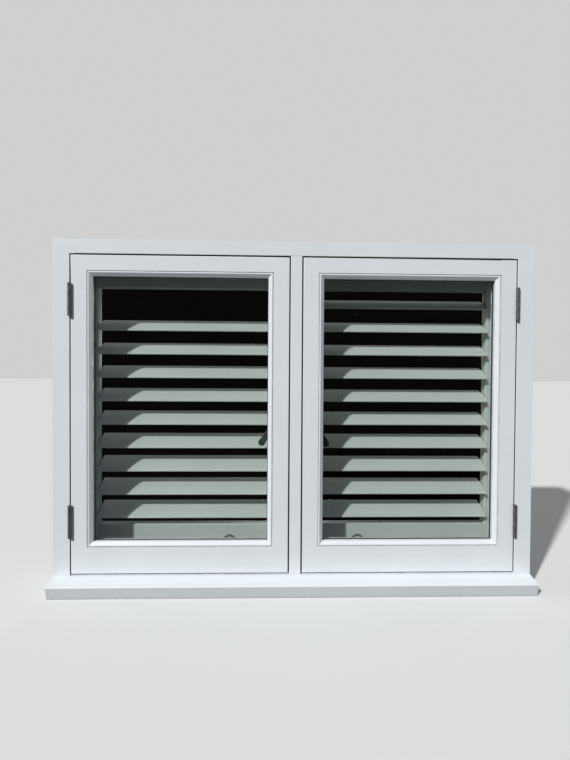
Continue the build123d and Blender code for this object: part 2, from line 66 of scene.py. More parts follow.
def newTree(name, treeType, inputs, outputs):
    tree = bpy.data.node_groups.new(name, treeType)
    for label, kind, value in inputs:
        socket = tree.interface.new_socket(name=label, in_out="INPUT", socket_type=kind)
        if value is not None:
            socket.default_value = value
    for label, kind in outputs:
        tree.interface.new_socket(name=label, in_out="OUTPUT", socket_type=kind)
    return tree, tree.nodes.new("NodeGroupInput"), tree.nodes.new("NodeGroupOutput")


def addNode(tree, kind, values=None, **settings):
    node = tree.nodes.new(kind)
    for key, value in settings.items():
        setattr(node, key, value)
    for key, value in (values or {}).items():
        if isinstance(value, bpy.types.NodeSocket):
            tree.links.new(value, node.inputs[key])
        else:
            node.inputs[key].default_value = value
    return node


def math2(tree, operation, a, b, clamp=False):
    return addNode(tree, "ShaderNodeMath", {0: a, 1: b}, operation=operation, use_clamp=clamp).outputs[0]


def mixColour(tree, factor, a, b, blend="MIX"):
    node = addNode(tree, "ShaderNodeMix", data_type="RGBA", blend_type=blend)
    for index, value in ((0, factor), (6, a), (7, b)):
        if isinstance(value, bpy.types.NodeSocket):
            tree.links.new(value, node.inputs[index])
        else:
            node.inputs[index].default_value = value
    return node.outputs[2]


def stretchedNoise(tree, coordinates, stretch, grade):
    scale, detail, roughness = grade
    mapped = addNode(tree, "ShaderNodeVectorMath", {0: coordinates, 1: stretch}, operation="MULTIPLY")
    noise = addNode(
        tree, "ShaderNodeTexNoise",
        {"Vector": mapped.outputs[0], "Scale": scale, "Detail": detail, "Roughness": roughness},
    )
    return noise.outputs["Fac"]


def band(tree, value, low, high):
    node = addNode(tree, "ShaderNodeMapRange", {"Value": value, "From Min": low, "From Max": high})
    return node.outputs[0]


# Shared effects; each noise has its scale, detail and roughness

evenly = (1, 1, 1)
paintEffect = {
    "strokes": (260.0, 4.0, 0.6), "cloud": (7.0, 3.0, 0.55), "peel": (900.0, 2.0, 0.5), "patches": (55.0, 3.0, 0.5),
    "patchBand": (0.3, 0.6), "strokeTone": 0.04, "strokeGloss": 0.16, "strokeHeight": 0.7, "peelHeight": 0.3,
}
patinaEffect = {
    "broad": (60.0, 3.0, 0.6), "spotDetail": 5.0, "rubbedBand": (0.5, 0.8), "stainBand": (0.45, 0.7),
    "broadGloss": 0.35,
}


def buildBrushedPaint(values):
    # Brush marks along the timber, a soft unevenness of tone, and painted shade mixed with grime in corners, joints
    # and gaps, where ambient occlusion finds the surface hidden.
    tree, inputs, outputs = newTree(
        "brushedPaint", "ShaderNodeTree",
        [
            ("Paint", "NodeSocketColor", (0.8, 0.8, 0.8, 1)),
            ("Shade And Grime", "NodeSocketColor", (0.3, 0.28, 0.25, 1)),
            ("Shade And Grime Amount", "NodeSocketFloat", 0.3),
            ("Shade Reach", "NodeSocketFloat", 0.006),
            ("Tone Change", "NodeSocketFloat", 0.06),
            ("Grain", "NodeSocketVector", (1, 1, 1)),
            ("Gloss Floor", "NodeSocketFloat", 0.35),
        ],
        [("Colour", "NodeSocketColor"), ("Roughness", "NodeSocketFloat"), ("Height", "NodeSocketFloat")],
    )
    where = addNode(tree, "ShaderNodeTexCoord").outputs["Object"]
    given = inputs.outputs
    strokes = stretchedNoise(tree, where, given["Grain"], values["strokes"])
    cloud = stretchedNoise(tree, where, evenly, values["cloud"])
    peel = stretchedNoise(tree, where, evenly, values["peel"])
    patches = band(tree, stretchedNoise(tree, where, evenly, values["patches"]), *values["patchBand"])
    tone = math2(tree, "MULTIPLY", math2(tree, "SUBTRACT", cloud, 0.5), given["Tone Change"])
    brushed = math2(tree, "MULTIPLY", math2(tree, "SUBTRACT", strokes, 0.5), values["strokeTone"])
    lifted = math2(tree, "ADD", math2(tree, "ADD", brushed, tone), 1.0)
    shade = addNode(tree, "ShaderNodeCombineColor", {0: lifted, 1: lifted, 2: lifted})
    toned = mixColour(tree, 1.0, given["Paint"], shade.outputs[0], "MULTIPLY")
    # Painted shade: the occlusion mask darkens corners, joints and gaps, broken into patches, towards the
    # shade-and-grime colour.
    occlusion = addNode(tree, "ShaderNodeAmbientOcclusion", {"Distance": given["Shade Reach"]}, samples=6)
    occludedShare = math2(tree, "SUBTRACT", 1.0, occlusion.outputs["AO"], True)
    patchyShade = math2(tree, "MULTIPLY", occludedShare, patches)
    shadeAndGrimeMask = math2(tree, "MULTIPLY", patchyShade, given["Shade And Grime Amount"], True)
    coloured = mixColour(tree, shadeAndGrimeMask, toned, given["Shade And Grime"])
    rough = math2(tree, "ADD", given["Gloss Floor"], math2(tree, "MULTIPLY", strokes, values["strokeGloss"]))
    ridges = math2(tree, "MULTIPLY", strokes, values["strokeHeight"])
    height = math2(tree, "ADD", ridges, math2(tree, "MULTIPLY", peel, values["peelHeight"]))
    tree.links.new(coloured, outputs.inputs["Colour"])
    tree.links.new(rough, outputs.inputs["Roughness"])
    tree.links.new(height, outputs.inputs["Height"])
    return tree


def buildPatina(values):
    # Mottled dark metal: rubbed lighter in fine random spots, browner in patches.
    tree, inputs, outputs = newTree(
        "patina", "ShaderNodeTree",
        [
            ("Metal", "NodeSocketColor", (0.1, 0.1, 0.1, 1)),
            ("Rubbed", "NodeSocketColor", (0.3, 0.3, 0.3, 1)),
            ("Stain", "NodeSocketColor", (0.12, 0.07, 0.04, 1)),
            ("Stain Amount", "NodeSocketFloat", 0.4),
            ("Spots", "NodeSocketFloat", 320.0),
            ("Gloss Floor", "NodeSocketFloat", 0.3),
        ],
        [("Colour", "NodeSocketColor"), ("Roughness", "NodeSocketFloat"), ("Height", "NodeSocketFloat")],
    )
    where = addNode(tree, "ShaderNodeTexCoord").outputs["Object"]
    given = inputs.outputs
    spots = {"Vector": where, "Scale": given["Spots"], "Detail": values["spotDetail"]}
    fine = addNode(tree, "ShaderNodeTexNoise", spots).outputs["Fac"]
    broad = stretchedNoise(tree, where, evenly, values["broad"])
    worn = mixColour(tree, band(tree, fine, *values["rubbedBand"]), given["Metal"], given["Rubbed"])
    stained = math2(tree, "MULTIPLY", band(tree, broad, *values["stainBand"]), given["Stain Amount"], True)
    tree.links.new(mixColour(tree, stained, worn, given["Stain"]), outputs.inputs["Colour"])
    rough = math2(tree, "ADD", given["Gloss Floor"], math2(tree, "MULTIPLY", broad, values["broadGloss"]))
    tree.links.new(rough, outputs.inputs["Roughness"])
    tree.links.new(fine, outputs.inputs["Height"])
    return tree


brushedPaint = buildBrushedPaint(paintEffect)
patina = buildPatina(patinaEffect)


def newMaterial(name):
    material = bpy.data.materials.new(name)
    material.use_nodes = True
    tree = material.node_tree
    return material, tree, tree.nodes["Principled BSDF"]


def coatedMaterial(name, group, inputs, look):
    material, tree, shader = newMaterial(name)
    effect = addNode(tree, "ShaderNodeGroup", node_tree=group)
    for key, value in inputs.items():
        effect.inputs[key].default_value = value
    tree.links.new(effect.outputs["Colour"], shader.inputs["Base Color"])
    tree.links.new(effect.outputs["Roughness"], shader.inputs["Roughness"])
    bump = addNode(
        tree, "ShaderNodeBump",
        {"Height": effect.outputs["Height"], "Strength": look["bump"], "Distance": look["depth"]},
    )
    tree.links.new(bump.outputs[0], shader.inputs["Normal"])
    shader.inputs["Metallic"].default_value = look["metallic"]
    shader.inputs["Specular IOR Level"].default_value = look["specular"]
    return material


grainOf = {"upright": (1.0, 1.0, 0.06), "level": (0.06, 1.0, 1.0)}
# The shade-and-grime colour is laid by ambient occlusion into corners, joints and gaps: painted shade mixed with
# grime.
windowPaint = {
    "Paint": (0.755, 0.80, 0.825, 1), "Shade And Grime": (0.33, 0.33, 0.32, 1), "Shade And Grime Amount": 0.55,
    "Shade Reach": 0.007, "Tone Change": 0.10, "Gloss Floor": 0.34,
}
shutterPaint = {
    "Paint": (0.457, 0.488, 0.477, 1), "Shade And Grime": (0.20, 0.21, 0.20, 1), "Shade And Grime Amount": 0.35,
    "Shade Reach": 0.006, "Tone Change": 0.12, "Gloss Floor": 0.38,
}
paintLook = {"bump": 0.35, "depth": 0.0004, "metallic": 0.0, "specular": 0.3}
metalLook = {"bump": 0.3, "depth": 0.0003, "metallic": 0.85, "specular": 0.5}
ironLook = {"bump": 0.4, "depth": 0.0004, "metallic": 0.45, "specular": 0.6}
blackLook = {"bump": 0.3, "depth": 0.0003, "metallic": 0.1, "specular": 0.35}
ironValues = {
    "Metal": (0.098, 0.100, 0.106, 1), "Rubbed": (0.38, 0.385, 0.40, 1), "Stain": (0.100, 0.094, 0.092, 1),
    "Stain Amount": 0.40, "Spots": 300.0, "Gloss Floor": 0.28,
}
steelValues = {
    "Metal": (0.42, 0.42, 0.41, 1), "Rubbed": (0.62, 0.62, 0.60, 1), "Stain": (0.30, 0.28, 0.25, 1),
    "Stain Amount": 0.30, "Spots": 520.0, "Gloss Floor": 0.28,
}

paints = {}
for direction, grain in grainOf.items():
    for coat, paint in (("window", windowPaint), ("shutter", shutterPaint)):
        paints[coat, direction] = coatedMaterial(
            f"{coat}Paint_{direction}", brushedPaint, {**paint, "Grain": grain}, paintLook
        )
darkIron = coatedMaterial("darkIron", patina, ironValues, ironLook)
blackIron = coatedMaterial(
    "blackIron", patina,
    {**ironValues, "Metal": (0.026, 0.032, 0.032, 1), "Rubbed": (0.06, 0.066, 0.066, 1), "Stain Amount": 0.1},
    blackLook,
)
satinSteel = coatedMaterial("satinSteel", patina, steelValues, metalLook)
spacerMetal = coatedMaterial(
    "spacerMetal", patina,
    {**ironValues, "Metal": (0.05, 0.052, 0.055, 1), "Rubbed": (0.10, 0.10, 0.11, 1), "Stain Amount": 0.0}, metalLook,
)


def glassMaterial(values):
    # Clear float glass that lets lamp light through to the louvres; faint smears vary its gloss.
    material, tree, shader = newMaterial("floatGlass")
    where = addNode(tree, "ShaderNodeTexCoord").outputs["Object"]
    smears = stretchedNoise(tree, where, values["smearStretch"], values["smears"])
    rough = math2(tree, "MULTIPLY", band(tree, smears, *values["smearBand"]), values["smearRoughness"])
    tree.links.new(rough, shader.inputs["Roughness"])
    shader.inputs["Base Color"].default_value = values["tint"]
    shader.inputs["Transmission Weight"].default_value = 1.0
    shader.inputs["IOR"].default_value = values["ior"]
    shader.inputs["Specular IOR Level"].default_value = values["specular"]
    clear = addNode(tree, "ShaderNodeBsdfTransparent", {"Color": values["shadowTint"]})
    light = addNode(tree, "ShaderNodeLightPath")
    through = addNode(tree, "ShaderNodeMixShader")
    lampLight = math2(tree, "MAXIMUM", light.outputs["Is Shadow Ray"], light.outputs["Is Diffuse Ray"])
    tree.links.new(lampLight, through.inputs[0])
    tree.links.new(shader.outputs[0], through.inputs[1])
    tree.links.new(clear.outputs[0], through.inputs[2])
    tree.links.new(through.outputs[0], tree.nodes["Material Output"].inputs["Surface"])
    return material


floatGlass = glassMaterial({
    "tint": (0.975, 0.99, 0.985, 1), "shadowTint": (0.965, 0.975, 0.97, 1), "ior": 1.45, "specular": 0.08,
    "smearStretch": (1.0, 1.0, 0.25), "smears": (14.0, 4.0, 0.6), "smearBand": (0.55, 0.85), "smearRoughness": 0.04,
})


def rubberMaterial(values):
    material, tree, shader = newMaterial("glazingSeal")
    where = addNode(tree, "ShaderNodeTexCoord").outputs["Object"]
    dust = band(tree, stretchedNoise(tree, where, evenly, values["clouds"]), *values["dustBand"])
    tree.links.new(mixColour(tree, dust, values["rubber"], values["dust"]), shader.inputs["Base Color"])
    tree.links.new(band(tree, dust, *values["glossBand"]), shader.inputs["Roughness"])
    return material


glazingSeal = rubberMaterial({
    "rubber": (0.018, 0.02, 0.022, 1), "dust": (0.032, 0.034, 0.033, 1), "clouds": (90.0, 3.0, 0.5),
    "dustBand": (0.35, 0.75), "glossBand": (-0.6, 1.2),
})
print("materials built:", len(bpy.data.materials))


# Finishes for the modelled nodes

def finishOf(node):
    if "glass_panes" in node:
        return floatGlass
    if "spacer" in node:
        return spacerMetal
    if node == "frame_ironmongery" or "fittings" in node or "fastener" in node or "stay" in node:
        return darkIron
    if "hinge_leaves" in node:
        return satinSteel
    shutter = "shutter" in node or "louvre" in node or "strip" in node
    lyingDown = any(word in node for word in ("rail", "head", "sill", "louvre"))
    return paints["shutter" if shutter else "window", "level" if lyingDown else "upright"]


for nodeName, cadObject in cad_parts.items():
    cadObject.data.materials.clear()
    cadObject.data.materials.append(finishOf(nodeName))
print("finishes given to the modelled nodes")


# Small helpers for new pieces

def pieceFrom(name, mesh, material, body):
    piece = bpy.data.objects.new(name, mesh)
    scene.collection.objects.link(piece)
    if not mesh.materials:
        mesh.materials.append(material)
    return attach(piece, body)


def meshOf(build):
    mesh = bpy.data.meshes.new("mesh")
    bm = bmesh.new()
    build(bm)
    bmesh.ops.recalc_face_normals(bm, faces=bm.faces)
    bm.to_mesh(mesh)
    bm.free()
    return mesh


def joinRings(bm, a, b):
    for i in range(len(a)):
        j = (i + 1) % len(a)
        bm.faces.new((a[i], a[j], b[j], b[i]))


def loftMesh(rings):
    # A closed solid through rings of the same number of points, capped at both ends.
    def build(bm):
        loops = [[bm.verts.new(place) for place in ring] for ring in rings]
        bm.faces.new(loops[0])
        bm.faces.new(loops[-1][::-1])
        for a, b in zip(loops, loops[1:]):
            joinRings(bm, a, b)
    return meshOf(build)


def cornersOf(low, high):
    # corners in the X-Z plane, each with the directions that lead inwards from it
    return [(low.x, low.z, 1, 1), (high.x, low.z, -1, 1), (high.x, high.z, -1, -1), (low.x, high.z, 1, -1)]


# Sash timbers and sill: eased arrises, a splay inside the glass, a sill nose square to its fall

timberValues = {
    "arris": 0.0024, "splay": 0.0076, "sightInset": 0.0122, "over": 0.001, "shortest": 0.004, "samePlace": 0.00004,
}


def timberCopy(node):
    bm = bmesh.new()
    bm.from_mesh(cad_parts[node].data)
    bmesh.ops.remove_doubles(bm, verts=bm.verts, dist=1e-6)
    bmesh.ops.dissolve_limit(bm, angle_limit=math.radians(0.4), verts=bm.verts, edges=bm.edges)
    return bm


def easeArrises(bm, onArris, width):
    chosen = [
        edge for edge in bm.edges
        if all(onArris(vert.co) for vert in edge.verts) and edge.calc_length() > timberValues["shortest"]
    ]
    if chosen:
        bmesh.ops.bevel(
            bm, geom=chosen, offset=width, segments=3, profile=0.5, affect="EDGES", clamp_overlap=True
        )


def cutAway(mesh, cutter, operation="DIFFERENCE"):
    holder = bpy.data.objects.new("holder", mesh)
    tool = bpy.data.objects.new("tool", cutter)
    for thing in (holder, tool):
        scene.collection.objects.link(thing)
    modifier = holder.modifiers.new("cut", "BOOLEAN")
    modifier.operation, modifier.solver, modifier.object = operation, "EXACT", tool
    result = bpy.data.meshes.new_from_object(holder.evaluated_get(bpy.context.evaluated_depsgraph_get()))
    for thing in (holder, tool):
        bpy.data.objects.remove(thing)
    return result


def frustum(low, high, front, back, spread):
    # opening in the X-Z plane that widens by spread between front and back
    return loftMesh([
        [(x - sx * grow, y, z - sz * grow) for x, z, sx, sz in cornersOf(low, high)]
        for y, grow in ((front, 0.0), (back, spread))
    ])


def near(value, *targets):
    return any(abs(value - target) < timberValues["samePlace"] for target in targets)


def finishTimber(node, onArris, width, material, body, cutter):
    bm = timberCopy(node)
    easeArrises(bm, onArris, width)
    mesh = bpy.data.meshes.new(node)
    bm.to_mesh(mesh)
    bm.free()
    mesh = cutAway(mesh, cutter)
    mesh.materials.clear()
    piece = pieceFrom(f"{node}_finished", mesh, material, body)
    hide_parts(node)


members = {
    "sash_hinge_stile": "upright", "sash_lock_stile": "upright", "sash_top_rail": "level", "sash_bottom_rail": "level"
}
for side in sides:
    boxes = [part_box(f"{side}_{member}") for member in members]
    low = Vector((min(box[0][i] for box in boxes) for i in range(3)))
    high = Vector((max(box[1][i] for box in boxes) for i in range(3)))
    beadLow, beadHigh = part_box(f"{side}_glazing_beads")
    inset = Vector((timberValues["sightInset"], 0, timberValues["sightInset"]))
    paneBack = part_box(f"{side}_glass_panes")[1].y
    over = timberValues["over"]
    slope = timberValues["splay"] / (high.y - paneBack)
    start = Vector((over * slope, 0, over * slope))

    def onPerimeter(place):
        return near(place.y, low.y) and (near(place.x, low.x, high.x) or near(place.z, low.z, high.z))

    for member, direction in members.items():
        cutter = frustum(
            beadLow + inset + start, beadHigh - inset - start, paneBack - over, high.y + over,
            slope * (high.y - paneBack + 2 * over),
        )
        finishTimber(
            f"{side}_{member}", onPerimeter, timberValues["arris"], paints["window", direction],
            f"{side}_casement", cutter,
        )
print("sash timbers finished")


# Filler in the joint between head and jamb, where the head's arris would leave a groove.
fillerValues = {"depth": 0.0012, "inset": 0.0005}
jambLow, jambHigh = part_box("frame_jamb_right")
headLow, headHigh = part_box("frame_head")


def fillerMesh(inner, outer, front, level, depth):
    return loftMesh([
        [(x, front, level), (x, front, level + depth), (x, front + depth, level)] for x in (inner, outer)
    ])


for side, sign in sides.items():
    filler = fillerMesh(
        sign * (jambLow.x + fillerValues["inset"]), sign * jambHigh.x, headLow.y, jambHigh.z, fillerValues["depth"]
    )
    pieceFrom(f"{side}_joint_filler", filler, paints["window", "level"], "window_frame")


# The sill's nose stands square to the weathered top, so its face leans back towards the drip.
sillValues = {
    "leanTop": 0.0288, "lean": 0.0068, "nose": 0.0013, "nearY": 0.0006, "nearZ": 0.0002,
    "under": 0.01, "over": 0.011, "clear": 0.02,
}


def noseCutter(low, high, values):
    slope = values["lean"] / values["leanTop"]
    under, over, clear = values["under"], values["over"], low.y - values["clear"]
    outline = [
        (clear, -under), (low.y + (values["leanTop"] + under) * slope, -under),
        (low.y - over * slope, values["leanTop"] + over), (clear, values["leanTop"] + over),
    ]
    return loftMesh([[(x, y, z) for y, z in outline] for x in (low.x - under, high.x + under)])


sillLow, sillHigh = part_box("frame_sill")
sillMesh = bpy.data.meshes.new("sill")
bm = timberCopy("frame_sill")
bm.to_mesh(sillMesh)
bm.free()
sillMesh = cutAway(sillMesh, noseCutter(sillLow, sillHigh, sillValues))
bm = bmesh.new()
bm.from_mesh(sillMesh)
bmesh.ops.remove_doubles(bm, verts=bm.verts, dist=1e-6)
noseY = sillLow.y + sillValues["lean"]
easeArrises(
    bm, lambda place: abs(place.z) < sillValues["nearZ"] and abs(place.y - noseY) < sillValues["nearY"],
    sillValues["nose"],
)
bm.to_mesh(sillMesh)
bm.free()
sillMesh.materials.clear()
sillPiece = pieceFrom("frame_sill_finished", sillMesh, paints["window", "level"], "window_frame")
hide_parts("frame_sill")


# Glazing beads: a quirk, a small round, then a flat splay down to the glass, mitred at the corners

beadValues = {
    "width": 0.0122, "quirk": 0.0012, "quirkDepth": 0.0026, "crown": 0.00025, "round": 0.0022, "splayStart": 0.0056,
    "splayFall": 0.0062, "depth": 0.0165, "turn": 40.0, "steps": 5,
}


def beadProfile(values):
    # (distance in from the rebate, distance back from the sash face)
    points = [(0.0, values["depth"]), (0.0, values["quirkDepth"]), (values["quirk"], values["quirkDepth"])]
    for i in range(values["steps"] + 1):
        turn = math.pi / 2 * i / values["steps"]
        points.append((
            values["quirk"] + values["round"] * (1 - math.cos(turn)),
            values["crown"] + values["round"] * (1 - math.sin(turn)),
        ))
    for i in range(1, values["steps"] + 1):
        turn = math.radians(values["turn"]) * i / values["steps"]
        radius = (values["splayStart"] - values["quirk"] - values["round"]) / math.sin(math.radians(values["turn"]))
        points.append((
            values["quirk"] + values["round"] + radius * math.sin(turn),
            values["crown"] + radius * (1 - math.cos(turn)),
        ))
    points.append((values["width"], values["splayFall"]))
    points.append((values["width"], values["depth"]))
    return points


def mitredRing(low, high, front, profile):
    def build(bm):
        rings = [
            [bm.verts.new((x + sx * across, front + back, z + sz * across)) for across, back in profile]
            for x, z, sx, sz in cornersOf(low, high)
        ]
        for a, b in zip(rings, rings[1:] + rings[:1]):
            joinRings(bm, a, b)
    return meshOf(build)


for side in sides:
    beadLow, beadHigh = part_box(f"{side}_glazing_beads")
    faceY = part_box(f"{side}_sash_top_rail")[0].y
    beads = mitredRing(beadLow, beadHigh, faceY, beadProfile(beadValues))
    beadPiece = pieceFrom(f"{side}_bead_moulding", beads, paints["window", "level"], f"{side}_casement")
    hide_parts(f"{side}_glazing_beads")
print("sill and glazing beads finished")


# Glazing seals: a thin dark bead of rubber round each light, where the timber bead meets the glass

sealValues = {"beadWidth": 0.0122, "width": 0.0016, "height": 0.0016, "steps": 5, "clear": 0.00005}


def sealMesh(low, high, front, values):
    def build(bm):
        steps = values["steps"]
        turns = [math.pi / 2 * i / steps for i in range(steps + 1)]
        profile = [(values["width"] * math.cos(turn), values["height"] * math.sin(turn)) for turn in turns]
        rings = [
            [bm.verts.new((x + sx * inset, front - rise, z + sz * inset)) for inset, rise in profile]
            for x, z, sx, sz in cornersOf(low, high)
        ]
        for a, b in zip(rings, rings[1:] + rings[:1]):
            for i in range(steps):
                bm.faces.new((a[i], a[i + 1], b[i + 1], b[i]))
    return meshOf(build)


for side in sides:
    beadLow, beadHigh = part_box(f"{side}_glazing_beads")
    paneLow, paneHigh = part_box(f"{side}_glass_panes")
    inset = Vector((sealValues["beadWidth"], 0, sealValues["beadWidth"]))
    mesh = sealMesh(beadLow + inset, beadHigh - inset, paneLow.y - sealValues["clear"], sealValues)
    pieceFrom(f"{side}_glazing_seal", mesh, glazingSeal, f"{side}_casement")
print("glazing seals made")


# Screws: slotted countersunk heads, set by Geometry Nodes on a point for each

screwValues = {
    "hingeLength": 0.078, "hingeFromTop": 0.067, "hingeFromBottom": 0.087, "leafGap": 0.002,
    "leafRows": (0.008, 0.021), "hingeRadius": 0.0034,
    "panelHingeLength": 0.064, "panelFromEnd": 0.090, "panelGap": 0.0025, "panelRows": (0.0065, 0.0165),
    "panelRadius": 0.0028, "perLeaf": 4, "firstUp": 0.14, "stepUp": 0.24,
    "sides": 20, "heightShare": 0.2, "slotShare": 0.28, "slotLength": 3.0, "slotRise": 0.57,
    "firstTurn": 0.7, "nextTurn": 2.4,
}


def buildScrewTree(values):
    tree, inputs, outputs = newTree(
        "screwHeads", "GeometryNodeTree",
        [
            ("Geometry", "NodeSocketGeometry", None),
            ("Head Radius", "NodeSocketFloat", 0.0035),
            ("Head Height", "NodeSocketFloat", 0.0006),
            ("Slot Width", "NodeSocketFloat", 0.0009),
            ("Material", "NodeSocketMaterial", None),
        ],
        [("Geometry", "NodeSocketGeometry")],
    )
    given = inputs.outputs
    links = tree.links
    head = addNode(
        tree, "GeometryNodeMeshCylinder",
        {"Vertices": values["sides"], "Radius": given["Head Radius"], "Depth": given["Head Height"]},
    )
    long = math2(tree, "MULTIPLY", given["Head Radius"], values["slotLength"])
    size = addNode(
        tree, "ShaderNodeCombineXYZ", {0: long, 1: given["Slot Width"], 2: given["Head Height"]}
    ).outputs[0]
    slot = addNode(tree, "GeometryNodeMeshCube", {"Size": size})
    rise = math2(tree, "MULTIPLY", given["Head Height"], values["slotRise"])
    lift = addNode(tree, "ShaderNodeCombineXYZ", {2: rise}).outputs[0]
    raised = addNode(tree, "GeometryNodeTransform", {"Geometry": slot.outputs[0], "Translation": lift})
    cut = tree.nodes.new("GeometryNodeMeshBoolean")
    cut.operation = "DIFFERENCE"
    links.new(head.outputs[0], cut.inputs[0])
    links.new(raised.outputs[0], cut.inputs[1])
    facing = addNode(tree, "GeometryNodeInputNamedAttribute", {"Name": "facing"}, data_type="FLOAT_VECTOR")
    turn = addNode(tree, "GeometryNodeInputNamedAttribute", {"Name": "turn"}, data_type="FLOAT")
    aligned = addNode(tree, "FunctionNodeAlignRotationToVector", {"Vector": facing.outputs[0]}, axis="Z")
    spin = addNode(tree, "ShaderNodeCombineXYZ", {2: turn.outputs[0]}).outputs[0]
    spun = addNode(
        tree, "FunctionNodeRotateRotation", {0: aligned.outputs[0], 1: spin}, rotation_space="LOCAL"
    ).outputs[0]
    points = addNode(tree, "GeometryNodeMeshToPoints", {"Mesh": given["Geometry"]})
    placed = addNode(
        tree, "GeometryNodeInstanceOnPoints",
        {"Points": points.outputs[0], "Instance": cut.outputs[0], "Rotation": spun},
    )
    real = addNode(tree, "GeometryNodeRealizeInstances", {"Geometry": placed.outputs[0]})
    finished = addNode(
        tree, "GeometryNodeSetMaterial", {"Geometry": real.outputs[0], "Material": given["Material"]}
    )
    links.new(finished.outputs[0], outputs.inputs[0])
    return tree


screwTree = buildScrewTree(screwValues)


def screwPiece(name, body, seats, radius, material):
    # seats: (place, facing) of each screw; the slots are turned by a fixed rule, so they don't line up
    values = screwValues
    mesh = bpy.data.meshes.new("seats")
    mesh.from_pydata([place for place, _ in seats], [], [])
    mesh.attributes.new("facing", "FLOAT_VECTOR", "POINT")
    mesh.attributes.new("turn", "FLOAT", "POINT")
    for index, (_, direction) in enumerate(seats):
        mesh.attributes["facing"].data[index].vector = direction
        mesh.attributes["turn"].data[index].value = values["firstTurn"] + values["nextTurn"] * index
    holder = bpy.data.objects.new("seats", mesh)
    scene.collection.objects.link(holder)
    modifier = holder.modifiers.new("screws", "NODES")
    modifier.node_group = screwTree
    wanted = {
        "Head Radius": radius, "Head Height": radius * values["heightShare"],
        "Slot Width": radius * values["slotShare"], "Material": material,
    }
    for item in screwTree.interface.items_tree:
        if item.in_out == "INPUT" and item.name in wanted:
            modifier[item.identifier] = wanted[item.name]
    evaluated = holder.evaluated_get(bpy.context.evaluated_depsgraph_get())
    made = bpy.data.meshes.new_from_object(evaluated)
    bpy.data.objects.remove(holder)
    return pieceFrom(name, made, material, body)


def leafSeats(x, face, y, rows, bases, length, facing):
    # The screws of a leaf stand in two rows, staggered up its length.
    seats = []
    for base in bases:
        for index in range(screwValues["perLeaf"]):
            row = rows[index % 2] * face
            up = length * (screwValues["firstUp"] + screwValues["stepUp"] * index)
            seats.append(((x, y + row, base + up), (facing, 0, 0)))
    return seats


for side, sign in sides.items():
    values = screwValues
    stileLow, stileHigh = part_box(f"{side}_sash_hinge_stile")
    sashEdge = max(abs(stileLow.x), abs(stileHigh.x))
    bases = (stileLow.z + values["hingeFromBottom"], stileHigh.z - values["hingeFromTop"] - values["hingeLength"])
    pivotX = sashEdge + values["leafGap"] / 2
    fixedSeats = leafSeats(
        sign * (pivotX + values["leafGap"] / 2), 1, 0.0, values["leafRows"], bases, values["hingeLength"], -sign
    )
    movingSeats = leafSeats(
        sign * (pivotX - values["leafGap"] / 2), 1, 0.0, values["leafRows"], bases, values["hingeLength"], sign
    )
    screwPiece(f"{side}_frame_hinge_screws", "window_frame", fixedSeats, values["hingeRadius"], darkIron)
    screwPiece(f"{side}_sash_hinge_screws", f"{side}_casement", movingSeats, values["hingeRadius"], darkIron)
    panelLow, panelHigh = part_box(f"{side}_shutter_hinge_stile")
    panelEdge = max(abs(panelLow.x), abs(panelHigh.x))
    panelBases = (
        panelLow.z + values["panelFromEnd"],
        panelHigh.z - values["panelFromEnd"] - values["panelHingeLength"],
    )
    fixedPanel = leafSeats(
        sign * (panelEdge + values["panelGap"]), -1, panelHigh.y, values["panelRows"], panelBases,
        values["panelHingeLength"], -sign,
    )
    movingPanel = leafSeats(
        sign * panelEdge, -1, panelHigh.y, values["panelRows"], panelBases, values["panelHingeLength"], sign
    )
    screwPiece(f"{side}_surround_hinge_screws", "window_frame", fixedPanel, values["panelRadius"], satinSteel)
    screwPiece(f"{side}_panel_hinge_screws", f"{side}_shutter", movingPanel, values["panelRadius"], satinSteel)
print("screws set")


# Gap liners: thin dark strips lining both sides of the gap between sash and frame; partly draught strips, partly
# painted shade that darkens the gap.

linerValues = {
    "frame": 0.0003, "sash": 0.00025, "front": 0.0006, "sashFront": 0.0022, "back": 0.014, "gap": 0.003,
    "jambWall": 0.535, "shorter": 0.004,
}


def boxesMesh(boxes):
    def build(bm):
        for low, high in boxes:
            corners = [
                bm.verts.new((x, y, z))
                for x in (low[0], high[0]) for y in (low[1], high[1]) for z in (low[2], high[2])
            ]
            for face in ((0, 1, 3, 2), (4, 6, 7, 5), (0, 4, 5, 1), (2, 3, 7, 6), (0, 2, 6, 4), (1, 5, 7, 3)):
                bm.faces.new([corners[i] for i in face])
    return meshOf(build)


for side, sign in sides.items():
    values = linerValues
    stileLow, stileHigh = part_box(f"{side}_sash_lock_stile")
    sashEdge = min(abs(stileLow.x), abs(stileHigh.x))
    mullionWall, jambWall, headWall = sashEdge - values["gap"], values["jambWall"], stileHigh.z + values["gap"]
    front, back = values["front"], values["back"]
    strips = [
        ((sign * mullionWall, front, stileLow.z), (sign * (mullionWall + values["frame"]), back, headWall)),
        ((sign * (jambWall - values["frame"]), front, stileLow.z), (sign * jambWall, back, headWall)),
        ((sign * mullionWall, front, headWall - values["frame"]), (sign * jambWall, back, headWall)),
    ]
    pieceFrom(f"{side}_frame_draught_and_shade_strip", boxesMesh(strips), glazingSeal, "window_frame")
    strips = [(
        (sign * sashEdge, values["sashFront"], stileLow.z + values["shorter"]),
        (sign * (sashEdge - values["sash"]), back, stileHigh.z - values["shorter"]),
    )]
    pieceFrom(f"{side}_sash_draught_and_shade_strip", boxesMesh(strips), glazingSeal, f"{side}_casement")
print("draught strips made")


# Fastener levers: hub, short nose and a flat paddle grip with eased edges

